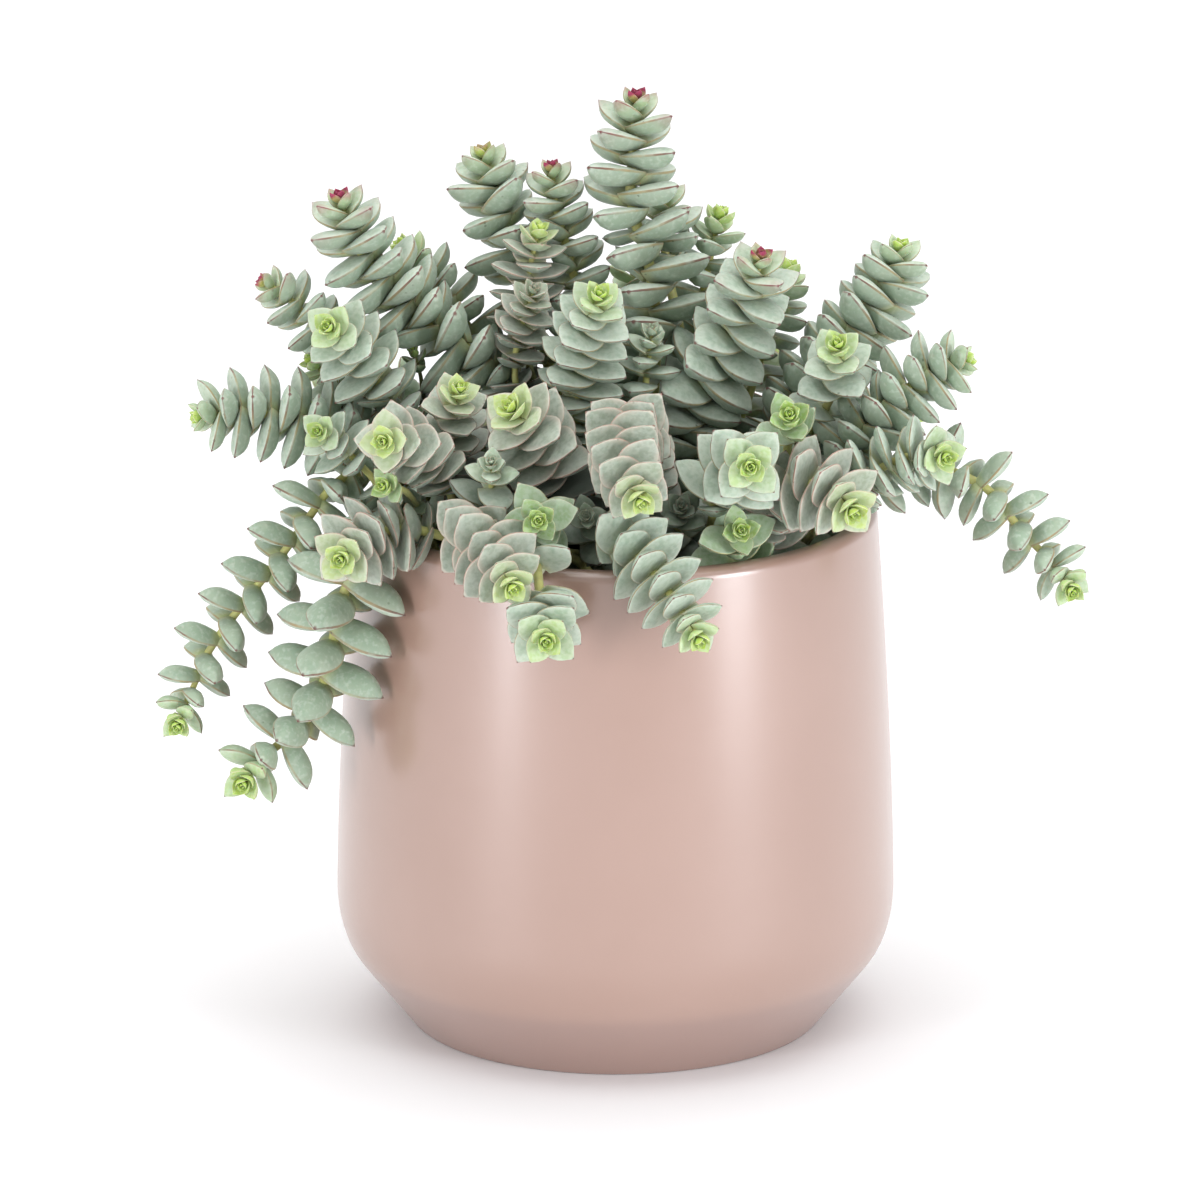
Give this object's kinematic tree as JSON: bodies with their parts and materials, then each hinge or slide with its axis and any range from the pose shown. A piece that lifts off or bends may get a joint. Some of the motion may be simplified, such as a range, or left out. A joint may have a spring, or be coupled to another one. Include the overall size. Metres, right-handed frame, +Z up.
{
  "type": "potted crassula",
  "caption": "String-of-buttons succulent whose stems of stacked, fused leaf pairs stand, lean and trail over the rim of a round tapered cover pot.",
  "frame": {"origin": "centre of the pot's foot, on the surface it stands on", "axes": "+Z up along the pot's axis; the side in the picture faces -Y, and +X is to its right"},
  "size_m": [0.2293, 0.1882, 0.2332],
  "materials": {
    "pot_ceramic": "satin dusty rose glaze",
    "potting_soil": "dark, damp, crumbly",
    "grey_green_leaf": "powdery matt",
    "cream_grey_leaf": "powdery matt with cream margins",
    "blue_green_leaf": "powdery matt",
    "lime_leaf": "soft satin"
  },
  "bodies": {
    "root": {"pot": "pot_ceramic", "soil": "potting_soil", "stem_spire": "grey_green_leaf", "stem_over_left": "cream_grey_leaf", "stem_over_twin": "grey_green_leaf", "stem_over_front": "grey_green_leaf", "stem_arch_front": "cream_grey_leaf", "stem_front_rosette": "grey_green_leaf", "stem_right_rosette": "cream_grey_leaf", "stem_trail_near": "blue_green_leaf", "stem_trail_far": "blue_green_leaf", "stem_trail_right": "blue_green_leaf", "stem_big_cream": "cream_grey_leaf", "stem_twin_yellow": "cream_grey_leaf", "stem_red_left": "grey_green_leaf", "stem_far_left": "grey_green_leaf", "stem_tall_right": "grey_green_leaf", "stem_red_right": "grey_green_leaf", "stem_far_right": "grey_green_leaf", "stem_left_rosette": "grey_green_leaf", "stem_blue_rosette": "grey_green_leaf", "stem_green_right": "grey_green_leaf", "stem_cream_rosette": "cream_grey_leaf", "stem_left_cream": "cream_grey_leaf", "stem_right_drop": "grey_green_leaf", "stem_pink_left": "grey_green_leaf", "stem_red_mid": "grey_green_leaf", "stem_pink_outer": "grey_green_leaf", "stem_mid_green": "cream_grey_leaf", "stem_grey_knot": "cream_grey_leaf", "stem_left_behind": "grey_green_leaf", "stem_spire_twin": "grey_green_leaf", "stem_green_back": "grey_green_leaf", "stem_right_behind": "grey_green_leaf", "stem_grey_small": "grey_green_leaf", "stem_lime_star": "lime_leaf", "stem_green_star": "lime_leaf", "stem_rim_star": "lime_leaf", "stem_left_small": "grey_green_leaf", "stem_left_bud": "grey_green_leaf", "stem_low_bud": "lime_leaf", "stem_left_green": "lime_leaf", "stem_grey_pair": "grey_green_leaf", "stem_pebbles": "grey_green_leaf", "stem_grey_right": "grey_green_leaf", "stem_back_spire": "grey_green_leaf", "stem_back_left": "grey_green_leaf", "stem_back_mid_left": "cream_grey_leaf", "stem_back_mid": "grey_green_leaf", "stem_back_mid_right": "grey_green_leaf", "stem_back_right": "cream_grey_leaf", "stem_back_far_right": "grey_green_leaf", "stem_back_low_right": "grey_green_leaf", "stem_back_low_left": "grey_green_leaf", "stem_back_side_left": "grey_green_leaf", "stem_back_side_right": "grey_green_leaf", "stem_trail_back_right": "blue_green_leaf", "stem_trail_back_left": "blue_green_leaf", "stem_over_back": "grey_green_leaf"}
  },
  "joints": []
}
